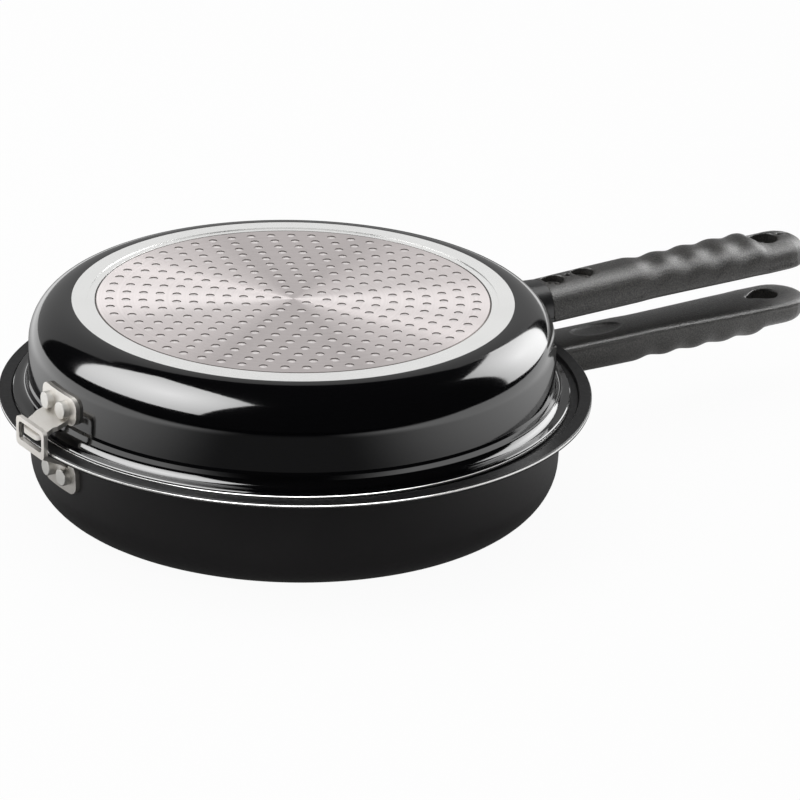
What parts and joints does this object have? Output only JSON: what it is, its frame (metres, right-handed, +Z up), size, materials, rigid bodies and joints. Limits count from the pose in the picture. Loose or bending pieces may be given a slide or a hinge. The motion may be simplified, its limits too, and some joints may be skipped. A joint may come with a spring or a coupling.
{
  "type": "double sided flip pan",
  "caption": "Round double sided flip pan: a shallow lower pan and an upper pan close rim to rim on a lift-off hook hinge, each with a bracketed finger-groove handle.",
  "frame": {"origin": "centre of the lower pan's base, on the plane that the pan stands on", "axes": "+X along the two handles, from the pan's centre to their tips; the hinge is at -X; +Z up, out of the lower pan's mouth; +Y to the left of someone looking from the hinge towards the handles"},
  "size_m": [0.4255, 0.268, 0.093],
  "materials": {
    "satin_enamel": "satin black enamel on aluminium, bare at the base ring and the rim edge",
    "gloss_enamel": "glossy black enamel on aluminium, bare at the base ring and the rim edge",
    "disc_steel": "spun stainless disc with round dimples",
    "handle_phenolic": "fine grained black phenolic",
    "collar_black": "smooth black coated flame guard",
    "bracket_steel": "pressed stainless sheet, semi bright",
    "rivet_metal": "bright turned aluminium rivets"
  },
  "bodies": {
    "lower_pan": {"lower_pan_body": "satin_enamel", "lower_induction_disc": "disc_steel", "lower_handle_bracket": "bracket_steel", "lower_bracket_rivet_high": "rivet_metal", "lower_bracket_rivet_low": "rivet_metal", "lower_handle_collar": "collar_black", "lower_handle": "handle_phenolic", "lower_handle_screw_near": "bracket_steel", "lower_handle_screw_far": "bracket_steel", "lower_hinge_bracket": "bracket_steel", "lower_hinge_rivet_left": "rivet_metal", "lower_hinge_rivet_right": "rivet_metal"},
    "upper_pan": {"upper_pan_body": "gloss_enamel", "upper_induction_disc": "disc_steel", "upper_handle_bracket": "bracket_steel", "upper_bracket_rivet_high": "rivet_metal", "upper_bracket_rivet_low": "rivet_metal", "upper_handle_collar": "collar_black", "upper_handle": "handle_phenolic", "upper_handle_screw_near": "bracket_steel", "upper_handle_screw_far": "bracket_steel", "upper_hinge_hook": "bracket_steel", "upper_hinge_rivet_left": "rivet_metal", "upper_hinge_rivet_right": "rivet_metal"}
  },
  "joints": [
    {"name": "lid_hinge", "type": "hinge", "parent": "lower_pan", "child": "upper_pan", "pos_m": [-0.1355, 0, 0.05895], "axis": [0, -1, 0], "range_deg": [0, 180]}
  ]
}
